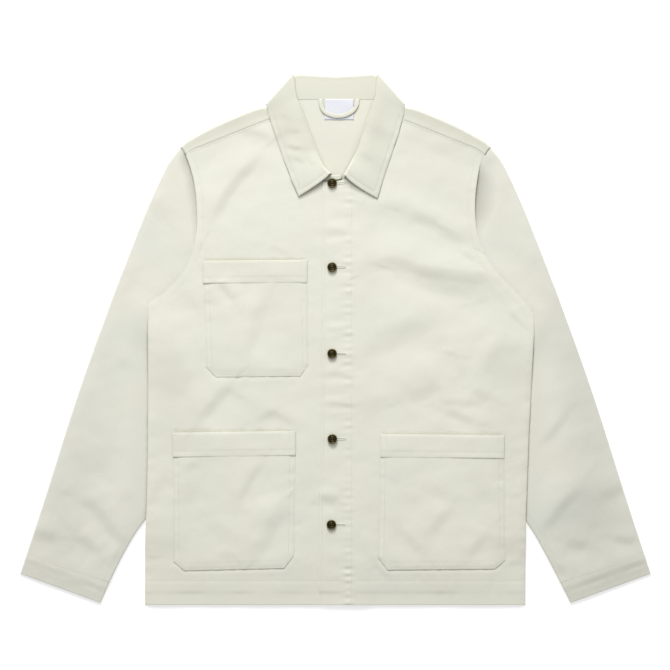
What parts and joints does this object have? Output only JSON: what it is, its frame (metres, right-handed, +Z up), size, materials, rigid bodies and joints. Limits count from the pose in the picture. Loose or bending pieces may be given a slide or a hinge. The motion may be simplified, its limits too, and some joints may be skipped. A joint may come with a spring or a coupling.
{
  "type": "chore jacket laid flat",
  "caption": "Cotton canvas chore jacket laid flat and buttoned, with a folded pointed collar, one chest patch pocket and two lower patch pockets.",
  "frame": {"origin": "middle of the laid jacket's outline, on the surface that it lies on", "axes": "+X to the wearer's left sleeve, +Y towards the collar, +Z up from the surface"},
  "size_m": [0.92, 0.773, 0.0112],
  "materials": {
    "cotton_canvas": "matte undyed cotton canvas",
    "woven_label": "plain white woven tape, no lettering",
    "antique_brass": "dark antiqued"
  },
  "bodies": {
    "root": {"back": "cotton_canvas", "front_left": "cotton_canvas", "front_right": "cotton_canvas", "sleeve_left": "cotton_canvas", "sleeve_right": "cotton_canvas", "collar": "cotton_canvas", "collar_stand_end": "cotton_canvas", "chest_pocket": "cotton_canvas", "chest_pocket_band": "cotton_canvas", "pocket_left": "cotton_canvas", "pocket_left_band": "cotton_canvas", "pocket_right": "cotton_canvas", "pocket_right_band": "cotton_canvas", "hanger_loop": "cotton_canvas", "label": "woven_label", "button_1": "antique_brass", "button_2": "antique_brass", "button_3": "antique_brass", "button_4": "antique_brass", "button_5": "antique_brass"}
  },
  "joints": []
}
